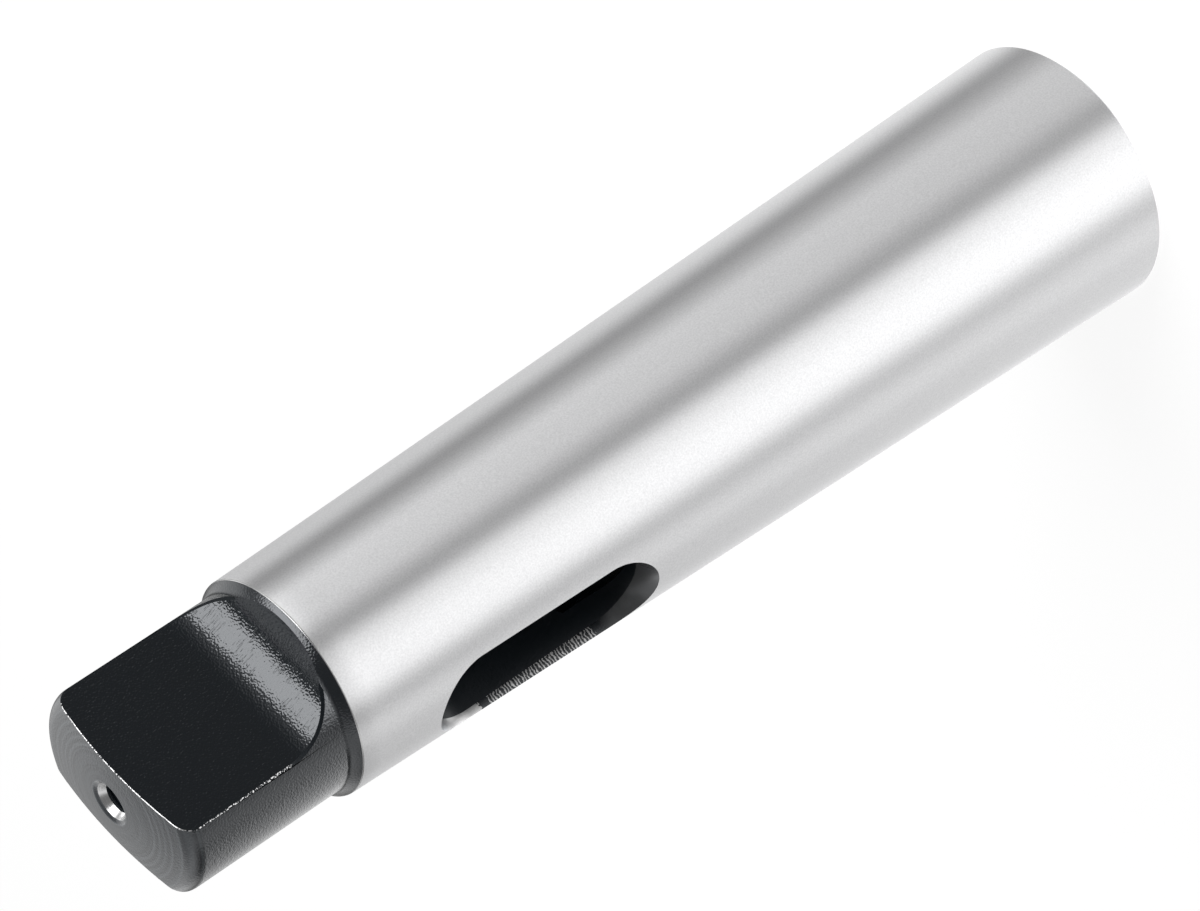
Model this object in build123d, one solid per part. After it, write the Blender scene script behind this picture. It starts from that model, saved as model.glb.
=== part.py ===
"""Reduction sleeve with a size 4 Morse taper outside and a size 3 Morse socket inside.

One turned and ground piece of steel, in millimetres. The sleeve stands on its large end:
the origin is the centre of that end's face and +Z runs along the axis to the tang.
X is square to the tang's flats, and the drift slot runs right through along Y.
"""

from build123d import *

import os
from math import radians, sqrt, tan

# Outer taper, size 4
gauge_diameter = 31.267
gauge_offset = 22.5
outer_taper_ratio = 19.254
ground_length = 116.9
rim_break = 0.3

# Tang that a spindle drives by its two flats
collar_height = 1.1
collar_root_radius = 0.8
tang_diameter = 24.4
tang_length = 23.1
tang_thickness = 11.7
tang_flat_length = 14.6
tang_root_radius = 8.0
tang_dome_radius = 60.0
tang_corner_radius = 2.0

# Lathe centre in the tang's end, with a chamfer that keeps knocks off its working cone
centre_rim_diameter = 5.4
centre_rim_angle = 120.0
centre_sink_diameter = 4.5
centre_sink_angle = 60.0
centre_pilot_diameter = 3.6
centre_pilot_depth = 5.0

# Socket, one size smaller than the taper outside, with a straight relief behind its taper
size_step = 7.442
socket_taper_ratio = 19.922
relief_step = 3.625
relief_length = 11.783
socket_rim_break = 0.5
drill_point_angle = 118.0

# Slot for the drift that knocks the tool out, which laps the end of the socket's relief
slot_lap = 7.1
slot_length = 28.7
slot_width = 10.8
slot_flare_depth = 2.3
slot_flare_angle = 20.0

# How far each cutter runs past the metal that it removes
overrun = 2.0

total_length = ground_length + tang_length
tang_radius = tang_diameter / 2
socket_diameter = gauge_diameter - size_step
relief_start = relief_step * socket_taper_ratio
socket_depth = relief_start + relief_length
slot_start = socket_depth - slot_lap


def outer_radius(height):
    """Radius of the outer taper at a height above the large end."""
    return (gauge_diameter + (gauge_offset - height) / outer_taper_ratio) / 2


def dome_height(radius):
    """Height of the tang's domed end at a distance from the axis."""
    return total_length - tang_dome_radius + sqrt(tang_dome_radius**2 - radius**2)


def turned_blank():
    """The outside as it leaves the lathe and the grinder, turned about the axis."""
    collar_root = (tang_radius, ground_length + collar_height)
    tang_edge = (tang_radius, dome_height(tang_radius))
    dome_middle = (tang_radius / 2, dome_height(tang_radius / 2))
    with BuildPart() as blank:
        with BuildSketch(Plane.XZ) as half_section:
            with BuildLine():
                Polyline(
                    (0, total_length),
                    (0, 0),
                    (outer_radius(rim_break) - rim_break, 0),
                    (outer_radius(rim_break), rim_break),
                    (outer_radius(ground_length), ground_length),
                    collar_root,
                    tang_edge,
                )
                ThreePointArc(tang_edge, dome_middle, (0, total_length))
            make_face()
            for place, radius in ((collar_root, collar_root_radius), (tang_edge, tang_corner_radius)):
                corner = half_section.vertices().sort_by_distance(place)[0]
                fillet(corner, radius)
        revolve(axis=Axis.Z)
    return blank.part


def tang_cutter():
    """What a side mill takes off one flat, leaving its own radius at the root."""
    flat = tang_thickness / 2
    root = total_length - tang_flat_length
    floor = root - tang_root_radius
    outside = max(tang_radius, outer_radius(0)) + tang_root_radius + overrun
    above = total_length + overrun
    with BuildPart() as cutter:
        with BuildSketch(Plane.XZ):
            with BuildLine():
                Polyline(
                    (flat + tang_root_radius, floor),
                    (outside, floor),
                    (outside, above),
                    (flat, above),
                    (flat, root),
                )
                RadiusArc((flat, root), (flat + tang_root_radius, floor), -tang_root_radius)
            make_face()
        extrude(amount=outside, both=True)
    return cutter.part


def centre_hole():
    """The 60 degree lathe centre with its protecting chamfer and its pilot hole."""
    rim = centre_rim_diameter / 2
    sink = centre_sink_diameter / 2
    pilot = centre_pilot_diameter / 2
    rim_slope = tan(radians(centre_rim_angle / 2))
    sink_slope = tan(radians(centre_sink_angle / 2))
    sink_mouth = total_length - (rim - sink) / rim_slope
    pilot_end = total_length - centre_pilot_depth
    with BuildPart() as hole:
        with BuildSketch(Plane.XZ):
            with BuildLine():
                Polyline(
                    (0, pilot_end - pilot / tan(radians(drill_point_angle / 2))),
                    (pilot, pilot_end),
                    (pilot, sink_mouth - (sink - pilot) / sink_slope),
                    (sink, sink_mouth),
                    (rim + overrun * rim_slope, total_length + overrun),
                    (0, total_length + overrun),
                    close=True,
                )
            make_face()
        revolve(axis=Axis.Z)
    return hole.part


def socket():
    """The ground socket, its straight relief and the drill's point behind it."""
    relief = (socket_diameter - relief_step) / 2
    broken_rim = (socket_diameter - socket_rim_break / socket_taper_ratio) / 2
    with BuildPart() as hollow:
        with BuildSketch(Plane.XZ):
            with BuildLine():
                Polyline(
                    (0, -overrun),
                    (broken_rim + socket_rim_break + overrun, -overrun),
                    (broken_rim, socket_rim_break),
                    (relief, relief_start),
                    (relief, socket_depth),
                    (0, socket_depth + relief / tan(radians(drill_point_angle / 2))),
                    close=True,
                )
            make_face()
        revolve(axis=Axis.Z)
    return hollow.part


def drift_slot():
    """The slot milled through along Y, with both of its mouths flared by a tapered cutter."""
    middle = slot_start + slot_length / 2
    flare_start = outer_radius(middle) - slot_flare_depth
    reach = outer_radius(0) + overrun
    with BuildPart() as slot:
        with BuildSketch(Plane.XZ):
            with Locations((0, middle)):
                SlotOverall(slot_length, slot_width, rotation=90)
        extrude(amount=reach, both=True)
        with BuildSketch(Plane.XZ.offset(flare_start)):
            with Locations((0, middle)):
                SlotOverall(slot_length, slot_width, rotation=90)
        extrude(amount=reach - flare_start, taper=-slot_flare_angle)
        mirror(about=Plane.XZ)
    return slot.part


one_side = tang_cutter()
sleeve = turned_blank() - socket() - drift_slot() - centre_hole() - one_side - one_side.mirror(Plane.YZ)

os.makedirs("parts", exist_ok=True)
export_step(sleeve, "parts/taper_sleeve.step")
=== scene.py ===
from math import asin, atan2, cos, pi, radians, sin, tan

import bmesh
import bpy
from mathutils import Matrix, Vector


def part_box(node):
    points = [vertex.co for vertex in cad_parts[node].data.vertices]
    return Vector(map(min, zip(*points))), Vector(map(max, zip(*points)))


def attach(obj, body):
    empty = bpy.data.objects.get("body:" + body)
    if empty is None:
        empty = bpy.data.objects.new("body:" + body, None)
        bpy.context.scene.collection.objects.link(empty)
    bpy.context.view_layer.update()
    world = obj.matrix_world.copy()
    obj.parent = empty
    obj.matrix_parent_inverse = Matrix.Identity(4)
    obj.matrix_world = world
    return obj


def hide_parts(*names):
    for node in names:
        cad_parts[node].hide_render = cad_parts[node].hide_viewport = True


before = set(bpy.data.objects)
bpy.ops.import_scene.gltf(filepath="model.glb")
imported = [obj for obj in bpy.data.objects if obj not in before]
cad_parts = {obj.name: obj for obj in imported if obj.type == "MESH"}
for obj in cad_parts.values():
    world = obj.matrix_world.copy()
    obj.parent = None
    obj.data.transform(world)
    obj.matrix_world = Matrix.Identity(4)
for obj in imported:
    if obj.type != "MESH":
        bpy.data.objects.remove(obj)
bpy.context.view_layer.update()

# Turned blank: the whole sleeve as it leaves the lathe and the grinder, before it is milled.
# One bar of hardened steel, ground to a taper outside, bored to a smaller taper inside, and
# stepped down to a round, blackened tang with the lathe's centre hole in its domed end.

mm = 0.001
node = "taper_sleeve"
large_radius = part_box(node)[1].x
ground_length = 116.9 * mm
outer_taper = 1 / 19.254
rim_break = 0.3 * mm

collar_height = 1.1 * mm
collar_root = 0.8 * mm
tang_radius = 12.2 * mm
tang_length = 23.1 * mm
dome_radius = 60 * mm
tang_corner = 2 * mm

centre_rim_radius = 2.7 * mm
centre_sink_radius = 2.25 * mm
centre_pilot_radius = 1.8 * mm
centre_pilot_depth = 5 * mm
rim_half_angle = radians(60)
sink_half_angle = radians(30)
drill_half_angle = radians(59)

socket_radius = 11.9125 * mm
socket_taper = 1 / 19.922
socket_rim_break = 0.5 * mm
relief_radius = 10.1 * mm
relief_end = 84 * mm

facets = 192
ground_rings = 44
arc_steps = 16
weld = 0.004 * mm

ground_dark = "#c4c4c5"
ground_light = "#e7e7e8"
bare_grey = "#d2d2d2"
oxide_black = "#0b1116"
oil_tint = "#f6f9fd"
# Painted sheen on the facing rings of the domed end.
painted_ring_sheen_grey = "#3c4043"

# The wheel's grit and the pits in the black are too fine to show in the render, so each is drawn as
# coarse as it needs to show.
grit_size = 0.2 * mm
grit_depth = 0.004 * mm
pit_size = 0.22 * mm
turned_pit_depth = 0.025 * mm
lathe_pitch = 0.25 * mm
ground_line_depth = 0.0008 * mm
bare_line_depth = 0.015 * mm
facing_pitch = 0.35 * mm
# Levels of the noise where a ring's painted sheen begins and where it is brightest.
ring_begins = 0.42
ring_full = 0.7


def linear(colour):
    """An sRGB hex colour as linear red, green, blue and alpha."""
    parts = [int(colour[i : i + 2], 16) / 255 for i in (1, 3, 5)]
    return [c / 12.92 if c <= 0.04045 else ((c + 0.055) / 1.055) ** 2.4 for c in parts] + [1.0]


def add(tree, kind, inputs=None, **settings):
    """Adds a node, sets its properties, and gives its inputs values or links."""
    made = tree.nodes.new(kind)
    for name, value in settings.items():
        setattr(made, name, value)
    for key, value in (inputs or {}).items():
        if isinstance(value, bpy.types.NodeSocket):
            tree.links.new(value, made.inputs[key])
        else:
            made.inputs[key].default_value = value
    return made


def start_finish(name, **sockets):
    """A material, its node tree, and its shader with the constant values set on its own sockets."""
    material = bpy.data.materials.new(name)
    material.use_nodes = True
    shader = material.node_tree.nodes["Principled BSDF"]
    for key, value in sockets.items():
        shader.inputs[key.replace("_", " ")].default_value = value
    return material, material.node_tree, shader


def grain(tree, place, size, stretch=(1, 1, 1), detail=2):
    """Noise whose spots have a given size, drawn out along the axes where the stretch is above one."""
    scale = [1 / (size * s) for s in stretch]
    spread = add(tree, "ShaderNodeMapping", {"Vector": place, "Scale": scale}).outputs[0]
    return add(tree, "ShaderNodeTexNoise", {"Vector": spread, "Scale": 1, "Detail": detail}).outputs[0]


def turning_lines(tree, place, spacing):
    """Lathe lines: noise that changes only along the cut, so that it makes rings on every turned face."""
    flat = add(tree, "ShaderNodeVectorMath", {0: place, 1: (1, 1, 0)}, operation="MULTIPLY").outputs[0]
    radius = add(tree, "ShaderNodeVectorMath", {0: flat}, operation="LENGTH").outputs["Value"]
    height = add(tree, "ShaderNodeSeparateXYZ", {0: place}).outputs["Z"]
    along = add(tree, "ShaderNodeMath", {0: radius, 1: height}, operation="ADD").outputs[0]
    return add(
        tree, "ShaderNodeTexNoise", {"W": along, "Scale": 1 / spacing, "Detail": 2},
        noise_dimensions="1D",
    ).outputs[0]


def emboss(tree, shader, pattern, depth):
    """Adds a pattern to the relief that a shader already has."""
    relief = add(tree, "ShaderNodeBump", {"Height": pattern, "Distance": depth})
    for link in shader.inputs["Normal"].links:
        tree.links.new(link.from_socket, relief.inputs["Normal"])
    tree.links.new(relief.outputs[0], shader.inputs["Normal"])


def paint(tree, shader, pattern, low, high):
    """Colours a shader from one sRGB colour where a pattern is zero to another where it is one."""
    # A Mix node has its two colours in sockets 6 and 7, and their mixture in output 2.
    ends = {0: pattern, 6: linear(low), 7: linear(high)}
    colour = add(tree, "ShaderNodeMix", ends, data_type="RGBA").outputs[2]
    tree.links.new(colour, shader.inputs["Base Color"])


def ground_steel():
    """Hardened steel off a cylindrical grinder. Its lines run round it, so that lights are drawn out
    along the axis into bands, and the wheel's grit leaves a fine grain in them."""
    material, tree, shader = start_finish(
        "ground_steel", Metallic=1, Roughness=0.45, Anisotropic=0.95, Anisotropic_Rotation=0.25
    )
    place = add(tree, "ShaderNodeTexCoord").outputs["Object"]
    grit = grain(tree, place, grit_size)
    paint(tree, shader, grit, ground_dark, ground_light)
    emboss(tree, shader, turning_lines(tree, place, lathe_pitch), ground_line_depth)
    emboss(tree, shader, grit, grit_depth)
    return material


def bare_steel():
    """Steel cut after the blackening, bright and fairly smooth, with the lathe's rings in it."""
    material, tree, shader = start_finish(
        "bare_steel", Base_Color=linear(bare_grey), Metallic=1, Roughness=0.25
    )
    place = add(tree, "ShaderNodeTexCoord").outputs["Object"]
    emboss(tree, shader, turning_lines(tree, place, lathe_pitch), bare_line_depth)
    return material


def black_oxide(name, roughness, pit_depth, shine=1.72):
    """Black oxide on steel: a thin, faintly blue black under a film of oil, which shines like lacquer.
    Its fine pits break up the edges of what it reflects."""
    material, tree, shader = start_finish(
        name, Base_Color=linear(oxide_black), Roughness=roughness, IOR=shine, Specular_Tint=linear(oil_tint)
    )
    place = add(tree, "ShaderNodeTexCoord").outputs["Object"]
    emboss(tree, shader, grain(tree, place, pit_size, detail=0), pit_depth)
    return material, tree, shader, place


def turned_black():
    """Black oxide over a turned face. The facing cut's rings on the domed end are real; their lighter grey
    is painted sheen.
    """
    material, tree, shader, place = black_oxide("turned_black", roughness=0.2, pit_depth=turned_pit_depth)
    height = add(tree, "ShaderNodeSeparateXYZ", {0: place}).outputs["Z"]
    domed = add(
        tree, "ShaderNodeMath", {0: height, 1: corner_height}, operation="GREATER_THAN"
    ).outputs[0]
    lines = turning_lines(tree, place, facing_pitch)
    rings = add(
        tree, "ShaderNodeMapRange",
        {"Value": lines, "From Min": ring_begins, "From Max": ring_full, "To Max": domed},
    ).outputs[0]
    # Painted sheen: the rings on the domed end are drawn lighter grey, for the light their ridges catch.
    paint(tree, shader, rings, oxide_black, painted_ring_sheen_grey)
    return material


def arc(centre, radius, start, end):
    """Points of an arc round a (radius, height) centre, between two angles from the radial direction."""
    angles = [start + (end - start) * i / arc_steps for i in range(arc_steps + 1)]
    return [(centre[0] + radius * cos(a), centre[1] + radius * sin(a)) for a in angles]


def outer_radius(height):
    """Radius of the outer taper at a height above the large end."""
    return large_radius - (height - rim_break) * outer_taper / 2


def turn(blank, outline, finish):
    """Spins an outline of (radius, height) points a quarter round the axis, and gives it one finish."""
    old = set(blank.faces)
    verts = [blank.verts.new((r, 0, z)) for r, z in outline]
    edges = [blank.edges.new(pair) for pair in zip(verts, verts[1:])]
    bmesh.ops.spin(
        blank, geom=verts + edges, axis=(0, 0, 1), cent=(0, 0, 0), angle=pi / 2, steps=facets // 4
    )
    for face in set(blank.faces) - old:
        face.material_index = finish


def piece(name, shape, *materials):
    """An object at the origin from a bmesh and its materials."""
    mesh = bpy.data.meshes.new(name)
    for material in materials:
        mesh.materials.append(material)
    shape.to_mesh(mesh)
    shape.free()
    made = bpy.data.objects.new(name, mesh)
    bpy.context.scene.collection.objects.link(made)
    return made


length = ground_length + tang_length
dome_centre = (0, length - dome_radius)
corner_tilt = asin((tang_radius - tang_corner) / (dome_radius - tang_corner))
corner_height = dome_centre[1] + (dome_radius - tang_corner) * cos(corner_tilt)
rim_tilt = asin(centre_rim_radius / dome_radius)
rim_top = dome_centre[1] + dome_radius * cos(rim_tilt)
sink_top = rim_top - (centre_rim_radius - centre_sink_radius) / tan(rim_half_angle)
sink_bottom = sink_top - (centre_sink_radius - centre_pilot_radius) / tan(sink_half_angle)
pilot_end = length - centre_pilot_depth
pilot_tip = pilot_end - centre_pilot_radius / tan(drill_half_angle)
relief_start = (socket_radius - relief_radius) * 2 / socket_taper
socket_tip = relief_end + relief_radius / tan(drill_half_angle)
mouth_edge = socket_radius - socket_rim_break * socket_taper / 2
mouth = (mouth_edge + socket_rim_break, 0)

ring_step = (ground_length - rim_break) / ground_rings
ring_heights = [rim_break + ring_step * i for i in range(ground_rings + 1)]
taper = [(outer_radius(z), z) for z in ring_heights]
collar_slope = atan2(taper[-1][0] - tang_radius, collar_height)
collar_top = ground_length + collar_height + collar_root * tan(collar_slope / 2)
collar = arc((tang_radius + collar_root, collar_top), collar_root, pi + collar_slope, pi)
corner = arc((tang_radius - tang_corner, corner_height), tang_corner, 0, pi / 2 - corner_tilt)
dome = arc(dome_centre, dome_radius, pi / 2 - corner_tilt, pi / 2 - rim_tilt)
sink = [(centre_sink_radius, sink_top), (centre_pilot_radius, sink_bottom)]
pilot = [sink[1], (centre_pilot_radius, pilot_end), (0, pilot_tip)]

blank_finishes = [ground_steel(), bare_steel(), turned_black()]
GROUND, BARE, TURNED = range(len(blank_finishes))
blank = bmesh.new()
turn(blank, [mouth, (large_radius - rim_break, 0), *taper], GROUND)
turn(blank, [taper[-1], *collar, *corner, *dome[1:], sink[0]], TURNED)
turn(blank, sink, BARE)
turn(blank, pilot, TURNED)
turn(blank, [mouth, (mouth_edge, socket_rim_break), (relief_radius, relief_start)], BARE)
turn(blank, [(relief_radius, relief_start), (relief_radius, relief_end), (0, socket_tip)], TURNED)
# The quarter is mirrored twice, so that both flats and both ends of the slot come out alike.
for axis in "XY":
    bmesh.ops.mirror(blank, geom=[*blank.verts, *blank.edges, *blank.faces], axis=axis)
bmesh.ops.remove_doubles(blank, verts=blank.verts, dist=weld)
bmesh.ops.recalc_face_normals(blank, faces=blank.faces)
sleeve = piece("sleeve", blank, *blank_finishes)


# Tang flats: a side mill takes one flat off each side of the round tang and leaves its own radius
# at the root. The flats drive the sleeve in a spindle's cross slot. They are blackened as milled.

tang_thickness = 11.7 * mm
flat_length = 14.6 * mm
root_radius = 8 * mm
root_steps = 36
overrun = 4 * mm

milled_pit_depth = 0.032 * mm
scratch_width = 0.15 * mm
scratch_stretch = 12
scratch_depth = 0.012 * mm
scratch_cluster = 3 * mm
# How far down the curve at the root the scratches begin, and how far down they are at their deepest.
scratch_start = 3 * mm
scratch_full = 4 * mm
# Levels of the noise where a cluster or a streak begins and where it is at its full depth.
cluster_begins = 0.45
cluster_full = 0.55
streak_begins = 0.58
streak_full = 0.66

root_height = length - flat_length
root_floor = root_height - root_radius


def milled_black():
    """Black oxide over a milled face, with clusters of scratches along the mill's feed in the root's curve.
    The scratches are drawn as wide as they need to be to show."""
    material, tree, shader, place = black_oxide("milled_black", roughness=0.1, pit_depth=milled_pit_depth)
    height = add(tree, "ShaderNodeSeparateXYZ", {0: place}).outputs["Z"]
    curve = add(
        tree, "ShaderNodeMapRange",
        {"Value": height, "From Min": root_height - scratch_start, "From Max": root_height - scratch_full},
    ).outputs[0]
    patches = grain(tree, place, scratch_cluster)
    clusters = add(
        tree, "ShaderNodeMapRange",
        {"Value": patches, "From Min": cluster_begins, "From Max": cluster_full, "To Max": curve},
    ).outputs[0]
    streaks = grain(tree, place, scratch_width, stretch=(scratch_stretch, 1, scratch_stretch))
    scratches = add(
        tree, "ShaderNodeMapRange",
        {"Value": streaks, "From Min": streak_begins, "From Max": streak_full, "To Max": clusters},
    ).outputs[0]
    emboss(tree, shader, scratches, scratch_depth)
    return material


def cut(target, cutter):
    """Takes a cutter's shape out of a piece, leaves its finishes on the cut, and removes the cutter."""
    change = target.modifiers.new("cut", "BOOLEAN")
    change.operation = "DIFFERENCE"
    change.solver = "MANIFOLD"
    change.material_mode = "TRANSFER"
    change.object = cutter
    graph = bpy.context.evaluated_depsgraph_get()
    milled = bpy.data.meshes.new_from_object(target.evaluated_get(graph))
    target.modifiers.remove(change)
    target.data = milled
    bpy.data.objects.remove(cutter)


# The block that stands for the mill is wider than the sleeve at its large end.
mill_size = Vector((2 * large_radius, 4 * large_radius, length + overrun - root_floor))
mill_middle = Vector((tang_thickness + mill_size.x, 0, 2 * root_floor + mill_size.z)) / 2
flat_finish = milled_black()
for half_turn in (0, pi):
    block = bmesh.new()
    bmesh.ops.create_cube(block, size=1, matrix=Matrix.LocRotScale(mill_middle, None, mill_size))
    inner = [v for v in block.verts if v.co.x < mill_middle.x and v.co.z < mill_middle.z]
    root = [e for e in block.edges if all(v in inner for v in e.verts)]
    bmesh.ops.bevel(
        block, geom=root, offset=root_radius, affect="EDGES", segments=root_steps, profile=0.5, material=-1
    )
    side = Matrix.Rotation(half_turn, 3, "Z")
    bmesh.ops.rotate(block, verts=block.verts, cent=(0, 0, 0), matrix=side)
    cut(sleeve, piece("tang_mill", block, flat_finish))


# Drift slot: an end mill cuts it right through along Y, and a tapered cutter flares both mouths.
# A wedge driven through it knocks the tool out. It is blackened, with chatter marks on the flares.

slot_length = 28.7 * mm
slot_width = 10.8 * mm
slot_start = 76.9 * mm
flare_depth = 2.3 * mm
flare_angle = radians(20)
slot_segments = 96

# Colour of the steel under real wear, also used at a low share for the flares' painted reflection.
worn_steel_and_sheen = "#bcbcbc"
worn_roughness = 0.35
slot_pit_depth = 0.015 * mm
flare_pit_depth = 0.005 * mm
chatter_pitch = 0.42 * mm
# Levels of the ripple where the black begins to go and where it is all gone.
crest_begins = 0.4
crest_full = 0.9
# Where the marks begin and end, from the ends of the slot's straight sides.
chatter_first_gap = 0.9 * mm
chatter_last_gap = 1.9 * mm
rubbed_gap = 0.7 * mm

ragged_size = 0.4 * mm
ragged_reach = 1 * mm
# Painted reflection at the flares' far end: where its dark grey begins, how far it fades in, and its share
# of steel.
painted_reflection_gap = 1.5 * mm
painted_reflection_fade = 1.5 * mm
painted_reflection_share = 0.2

slot_middle = slot_start + slot_length / 2
slot_straight = slot_length - slot_width
flare_start = outer_radius(slot_middle) - flare_depth
chatter_start = slot_middle - slot_straight / 2 + chatter_first_gap
chatter_end = slot_middle + slot_straight / 2 - chatter_last_gap
rubbed_start = slot_middle + slot_straight / 2 - rubbed_gap
painted_reflection_start = chatter_start - painted_reflection_gap


def slot_black():
    """Black oxide on the slot's walls, dry and dull."""
    return black_oxide("slot_black", roughness=0.4, pit_depth=slot_pit_depth, shine=1.45)[0]


def rub_through_and_sheen(tree, shader, bright):
    """Takes the black off down to dull steel wherever a mask is one, as wear. The flares' far end uses it at
    a low share, as a painted reflection in dark grey.
    """
    paint(tree, shader, bright, oxide_black, worn_steel_and_sheen)
    tree.links.new(bright, shader.inputs["Metallic"])
    black_roughness = shader.inputs["Roughness"].default_value
    roughness = add(
        tree, "ShaderNodeMapRange", {"Value": bright, "To Min": black_roughness, "To Max": worn_roughness}
    ).outputs[0]
    tree.links.new(roughness, shader.inputs["Roughness"])


def flare_black():
    """Black oxide over the flares. The cutter's chatter left a ripple along their straight sides. The
    drift has rubbed its crests and the end next to the tang bright. The far end's dark grey is a painted
    reflection."""
    material, tree, shader, place = black_oxide("flare_black", roughness=0.25, pit_depth=flare_pit_depth)
    height = add(tree, "ShaderNodeSeparateXYZ", {0: place}).outputs["Z"]
    specks = grain(tree, place, ragged_size)
    ragged = add(
        tree, "ShaderNodeMath", {0: specks, 1: ragged_reach, 2: height}, operation="MULTIPLY_ADD"
    ).outputs[0]
    # A wave texture whose scale is one repeats every pi / 10.
    waves = add(
        tree, "ShaderNodeTexWave",
        {
            "Vector": place, "Scale": pi / 10 / chatter_pitch,
            "Distortion": 5, "Detail": 1, "Detail Scale": 2.5,
        },
        bands_direction="Z",
    ).outputs["Fac"]
    bright = add(
        tree, "ShaderNodeMapRange", {"Value": waves, "From Min": crest_begins, "From Max": crest_full}
    ).outputs[0]
    for test, limit, change in (
        ("GREATER_THAN", chatter_start, "MULTIPLY"),
        ("LESS_THAN", chatter_end, "MULTIPLY"),
        ("GREATER_THAN", rubbed_start, "MAXIMUM"),
    ):
        mask = add(tree, "ShaderNodeMath", {0: ragged, 1: limit}, operation=test).outputs[0]
        bright = add(tree, "ShaderNodeMath", {0: bright, 1: mask}, operation=change).outputs[0]
    # Painted reflection: the far end of the flares is lifted to a dark grey.
    painted_reflection_end = add(
        tree, "ShaderNodeMapRange",
        {
            "Value": height, "From Min": painted_reflection_start, "From Max": painted_reflection_start - painted_reflection_fade,
            "To Max": painted_reflection_share,
        },
    ).outputs[0]
    bright = add(tree, "ShaderNodeMath", {0: bright, 1: painted_reflection_end}, operation="MAXIMUM").outputs[0]
    rub_through_and_sheen(tree, shader, bright)
    return material


slot_finishes = [slot_black(), flare_black()]
SLOT, FLARE = range(len(slot_finishes))

reach = large_radius + overrun
flared_width = slot_width + 2 * (reach - flare_start) * tan(flare_angle)
# The rings lie square to Y, turned by half a segment so that none of their corners is level with
# the middle. Their upper and lower halves are then drawn apart to the slot's length.
facing = Matrix.Rotation(pi / 2, 4, "X") @ Matrix.Rotation(pi / slot_segments, 4, "Z")
spool = bmesh.new()
rings = []
for along, width in (
    (-reach, flared_width),
    (-flare_start, slot_width),
    (flare_start, slot_width),
    (reach, flared_width),
):
    ring = bmesh.ops.create_circle(
        spool, cap_ends=abs(along) == reach, segments=slot_segments, radius=width / 2,
        matrix=Matrix.Translation((0, along, slot_middle)) @ facing,
    )["verts"]
    for vert in ring:
        vert.co.z += slot_straight / 2 if vert.co.z > slot_middle else -slot_straight / 2
    rings.append(set(ring))
for first, second, finish in zip(rings, rings[1:], (FLARE, SLOT, FLARE)):
    edges = [e for e in spool.edges if set(e.verts) <= first or set(e.verts) <= second]
    for face in bmesh.ops.bridge_loops(spool, edges=edges)["faces"]:
        face.material_index = finish
bmesh.ops.recalc_face_normals(spool, faces=spool.faces)
cut(sleeve, piece("slot_mill", spool, *slot_finishes))


# Broken edges: use has rubbed the black off the tang's end and off the two long edges that a spindle
# drives, so that bright steel shows through. A stone has taken the burr off the taper's small end.

end_edge_break = 0.07 * mm
tang_edge_break = 0.24 * mm
collar_edge_break = 0.08 * mm
sharp_angle = radians(24)

edge_pit_depth = 0.02 * mm
wear_speck = 0.18 * mm
drive_wear = 0.31
flank_wear = 0.3
end_wear = 0.4
# Sums of the specks and of these shares where the black begins to go and where it is all gone.
worn_from = 1.12
worn_through = 1.2
# X times Y where the drive's wear begins and where it has its full share.
drive_side_start = -((5 * mm) ** 2)
drive_side = -((7 * mm) ** 2)

flank_wear_start = root_height - 2 * mm
end_wear_start = length - 2 * mm
end_wear_full = length - 1 * mm


def rubbed_edge():
    """Black oxide worn through to bright steel: all along the tang's end, in specks along the two long
    edges that take the drive, and not at all in the curve at the root. X times Y tells the long edges
    apart, and the specks are drawn as coarse as they need to be to show."""
    material, tree, shader, place = black_oxide(
        "rubbed_edge", roughness=0.35, pit_depth=edge_pit_depth, shine=1.3
    )
    axes = add(tree, "ShaderNodeSeparateXYZ", {0: place}).outputs
    side = add(tree, "ShaderNodeMath", {0: axes["X"], 1: axes["Y"]}, operation="MULTIPLY").outputs[0]
    wear = grain(tree, place, wear_speck)
    for value, start, full, most in (
        (side, drive_side_start, drive_side, drive_wear),
        (axes["Z"], flank_wear_start, root_height, flank_wear),
        (axes["Z"], end_wear_start, end_wear_full, end_wear),
    ):
        share = add(
            tree, "ShaderNodeMapRange", {"Value": value, "From Min": start, "From Max": full, "To Max": most}
        ).outputs[0]
        wear = add(tree, "ShaderNodeMath", {0: wear, 1: share}, operation="ADD").outputs[0]
    bright = add(
        tree, "ShaderNodeMapRange", {"Value": wear, "From Min": worn_from, "From Max": worn_through}
    ).outputs[0]
    rub_through_and_sheen(tree, shader, bright)
    return material


sleeve.data.materials.append(rubbed_edge())
index = {material.name: i for i, material in enumerate(sleeve.data.materials)}
shape = bmesh.new()
shape.from_mesh(sleeve.data)
bmesh.ops.remove_doubles(shape, verts=shape.verts, dist=weld)
# The first pass takes the edges round the tang's end, which leaves the long ones to the second.
for one, other, above, offset, finish in (
    ("turned_black", "milled_black", corner_height, end_edge_break, "rubbed_edge"),
    ("turned_black", "milled_black", collar_top, tang_edge_break, "rubbed_edge"),
    ("ground_steel", "turned_black", 0, collar_edge_break, "bare_steel"),
):
    pair = {index[one], index[other]}
    seam = [
        e for e in shape.edges
        if {f.material_index for f in e.link_faces} == pair and all(v.co.z > above for v in e.verts)
    ]
    broken = bmesh.ops.bevel(
        shape, geom=seam, offset=offset, affect="EDGES", segments=1, profile=0.5, material=-1
    )["faces"]
    for face in broken:
        face.material_index = index[finish]
bmesh.ops.remove_doubles(shape, verts=shape.verts, dist=weld)
bmesh.ops.recalc_face_normals(shape, faces=shape.faces)
shape.to_mesh(sleeve.data)
shape.free()
sleeve.data.shade_smooth()
sleeve.data.set_sharp_from_angle(angle=sharp_angle)

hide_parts(node)
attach(sleeve, "root")


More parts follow.
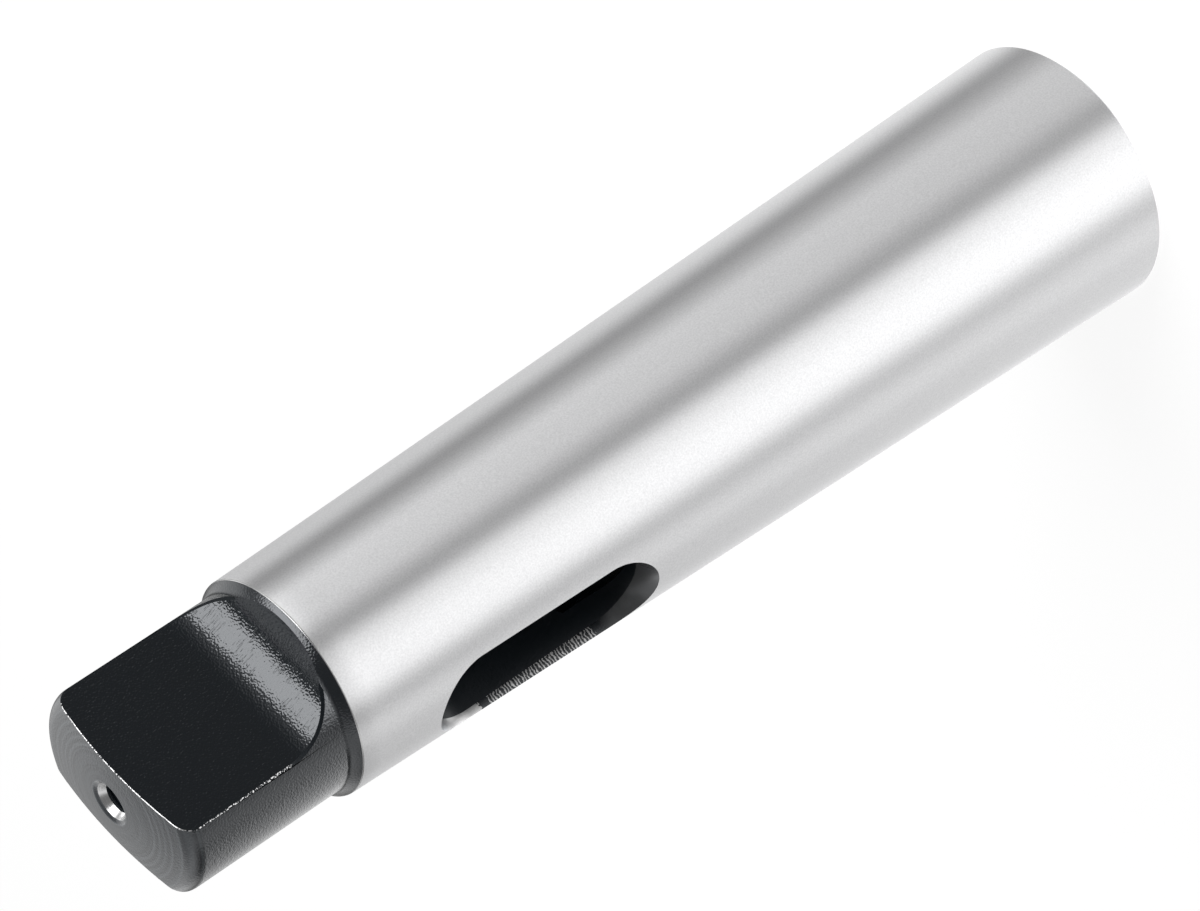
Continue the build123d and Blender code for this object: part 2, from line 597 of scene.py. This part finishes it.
# Floor and background: a sheet of matt paper that the sleeve stands on, with white all round it.
# The paper glows to the eye alone, so that it looks evenly white and still keeps the soft shadow.

floor_size = 6.0
paper_grey = "#8a8a8a"
floor_glow = 0.82
room_light = 0.6
seen_light = 1.0


def seen_rays(tree):
    """One for the rays that show a surface to the eye, directly or in metal or glass."""
    rays = add(tree, "ShaderNodeLightPath").outputs
    seen = rays["Is Camera Ray"]
    for kind in ("Is Glossy Ray", "Is Transmission Ray"):
        seen = add(tree, "ShaderNodeMath", {0: seen, 1: rays[kind]}, operation="MAXIMUM").outputs[0]
    return seen


sheet = bmesh.new()
bmesh.ops.create_grid(sheet, x_segments=1, y_segments=1, size=floor_size / 2)
white_paper, tree, _ = start_finish("white_paper")
tree.nodes.clear()
glow = add(tree, "ShaderNodeMath", {0: seen_rays(tree), 1: floor_glow}, operation="MULTIPLY").outputs[0]
paper = add(tree, "ShaderNodeBsdfDiffuse", {"Color": linear(paper_grey)}).outputs[0]
white = add(tree, "ShaderNodeEmission", {"Strength": glow}).outputs[0]
both = add(tree, "ShaderNodeAddShader", {0: paper, 1: white}).outputs[0]
add(tree, "ShaderNodeOutputMaterial", {"Surface": both})
floor = piece("floor", sheet, white_paper)
floor.visible_glossy = False

world = bpy.data.worlds.new("studio")
world.use_nodes = True
bpy.context.scene.world = world
tree = world.node_tree
tree.nodes.clear()
level = add(
    tree, "ShaderNodeMapRange", {"Value": seen_rays(tree), "To Min": room_light, "To Max": seen_light}
).outputs[0]
back = add(tree, "ShaderNodeBackground", {"Strength": level}).outputs[0]
add(tree, "ShaderNodeOutputWorld", {"Surface": back})


# Light tent: a ball of white cloth round the sleeve, with bright panels and dark gaps between them.
# Only the sleeve's shine shows it: the camera, the floor and the shadows are free of it.

tent_radius = 1.5
tent_base = 0.17
panels = [
    # azimuth, elevation, half width, half height, softness of the sides and of the ends, all in degrees,
    # and brightness
    (0, -90, 180, 48, 10, 10, 1.2),  # table, all round
    (-135, -90, 119, 63, 12, 11, 1.4),  # table, lit side
    (-48, -20, 31, 30, 11, 30, 1.2),  # white wall beside the camera
    (-56, -24, 18, 6, 9, 5, 2.1),  # lamp strip in front of it
    (-106, 5, 12, 30, 7, 12, 0.6),  # strip next to it
    (180, 60, 85, 35, 20, 15, 0.55),  # ceiling at the back
    (115, 17, 32, 22, 12, 12, 1.1),  # right wall
    (168, 16, 18, 16, 12, 12, 0.6),  # wall behind the tang's end
    (54, 5, 16, 28, 9, 12, 0.55),  # glow below the softbox
    (40, 40, 24, 24, 14, 14, 0.6),  # glow round the softbox
    (-158, -25, 40, 9, 20, 8, 1.0),  # far edge of the table, left
    (135, -32, 40, 8, 14, 8, 0.7),  # far edge of the table, right
    (-155, 24, 32, 14, 14, 10, 0.5),  # left wall
    (-178, 3, 22, 9, 10, 8, 0.7),  # foot of the left wall
]

ball = bmesh.new()
tent_middle = (0, 0, length / 2)
bmesh.ops.create_uvsphere(
    ball, u_segments=32, v_segments=16, radius=tent_radius, matrix=Matrix.Translation(tent_middle)
)
tent_cloth, tree, _ = start_finish("tent_cloth")
tree.nodes.clear()
place = add(tree, "ShaderNodeTexCoord").outputs["Object"]
place = add(tree, "ShaderNodeVectorMath", {0: place, 1: tent_middle}, operation="SUBTRACT").outputs[0]
place = add(tree, "ShaderNodeVectorMath", {0: place}, operation="NORMALIZE").outputs[0]
axes = add(tree, "ShaderNodeSeparateXYZ", {0: place}).outputs
azimuth = add(tree, "ShaderNodeMath", {0: axes["Y"], 1: axes["X"]}, operation="ARCTAN2").outputs[0]
elevation = add(tree, "ShaderNodeMath", {0: axes["Z"]}, operation="ARCSINE").outputs[0]
light = tent_base
for panel_azimuth, panel_elevation, half_width, half_height, soft_sides, soft_ends, bright in panels:
    share = bright
    for angle, middle, half, soft in (
        (azimuth, panel_azimuth, half_width, soft_sides),
        (elevation, panel_elevation, half_height, soft_ends),
    ):
        away = add(
            tree, "ShaderNodeMath", {0: angle, 1: radians(middle)}, operation="SUBTRACT"
        ).outputs[0]
        away = add(tree, "ShaderNodeMath", {0: away, 1: pi, 2: -pi}, operation="WRAP").outputs[0]
        away = add(tree, "ShaderNodeMath", {0: away}, operation="ABSOLUTE").outputs[0]
        edge = add(
            tree, "ShaderNodeMapRange",
            {"Value": away, "From Min": radians(half + soft), "From Max": radians(half - soft)},
            interpolation_type="SMOOTHSTEP",
        ).outputs[0]
        share = add(tree, "ShaderNodeMath", {0: edge, 1: share}, operation="MULTIPLY").outputs[0]
    light = add(tree, "ShaderNodeMath", {0: light, 1: share}, operation="ADD").outputs[0]
glow = add(tree, "ShaderNodeEmission", {"Strength": light}).outputs[0]
add(tree, "ShaderNodeOutputMaterial", {"Surface": glow})
tent = piece("light_tent", ball, tent_cloth)
tent.visible_camera = tent.visible_diffuse = tent.visible_transmission = tent.visible_shadow = False


# Key softbox: one large lamp behind white cloth, above the sleeve and to one side of it.
# It throws the soft shadow, and it shows as the broad glint in the curve at the tang's root.

key_azimuth = radians(34)
key_elevation = radians(45)
key_distance = 0.8
key_width = 0.66
key_height = 0.54
key_radiance = 4.0

aim = Vector((0, 0, ground_length))
sideways = cos(key_elevation)
towards = Vector((sideways * cos(key_azimuth), sideways * sin(key_azimuth), sin(key_elevation)))
lamp = bpy.data.lights.new("softbox", "AREA")
lamp.shape = "RECTANGLE"
lamp.size = key_width
lamp.size_y = key_height
lamp.energy = key_radiance * pi * key_width * key_height
softbox = bpy.data.objects.new("softbox", lamp)
softbox.location = aim + towards * key_distance
softbox.rotation_euler = towards.to_track_quat("Z", "Y").to_euler()
bpy.context.scene.collection.objects.link(softbox)


# Camera: a long lens above the tang, a little over half a metre away.
# It is rolled so that the sleeve, which stands upright, lies across the picture.

lens = 155.0
sensor = 36.0
camera_place = Vector((448.535, -212.579, 334.052)) * mm
camera_target = Vector((0.82, 1.712, 70.183)) * mm
camera_roll = radians(-123.55)

optics = bpy.data.cameras.new("camera")
optics.sensor_fit = "HORIZONTAL"
optics.sensor_width = sensor
optics.lens = lens
camera = bpy.data.objects.new("camera", optics)
look = (camera_target - camera_place).to_track_quat("-Z", "Y").to_matrix()
look = look @ Matrix.Rotation(camera_roll, 3, "Z")
camera.matrix_world = Matrix.Translation(camera_place) @ look.to_4x4()
bpy.context.scene.collection.objects.link(camera)
bpy.context.scene.camera = camera
bpy.context.scene.view_settings.view_transform = "Standard"
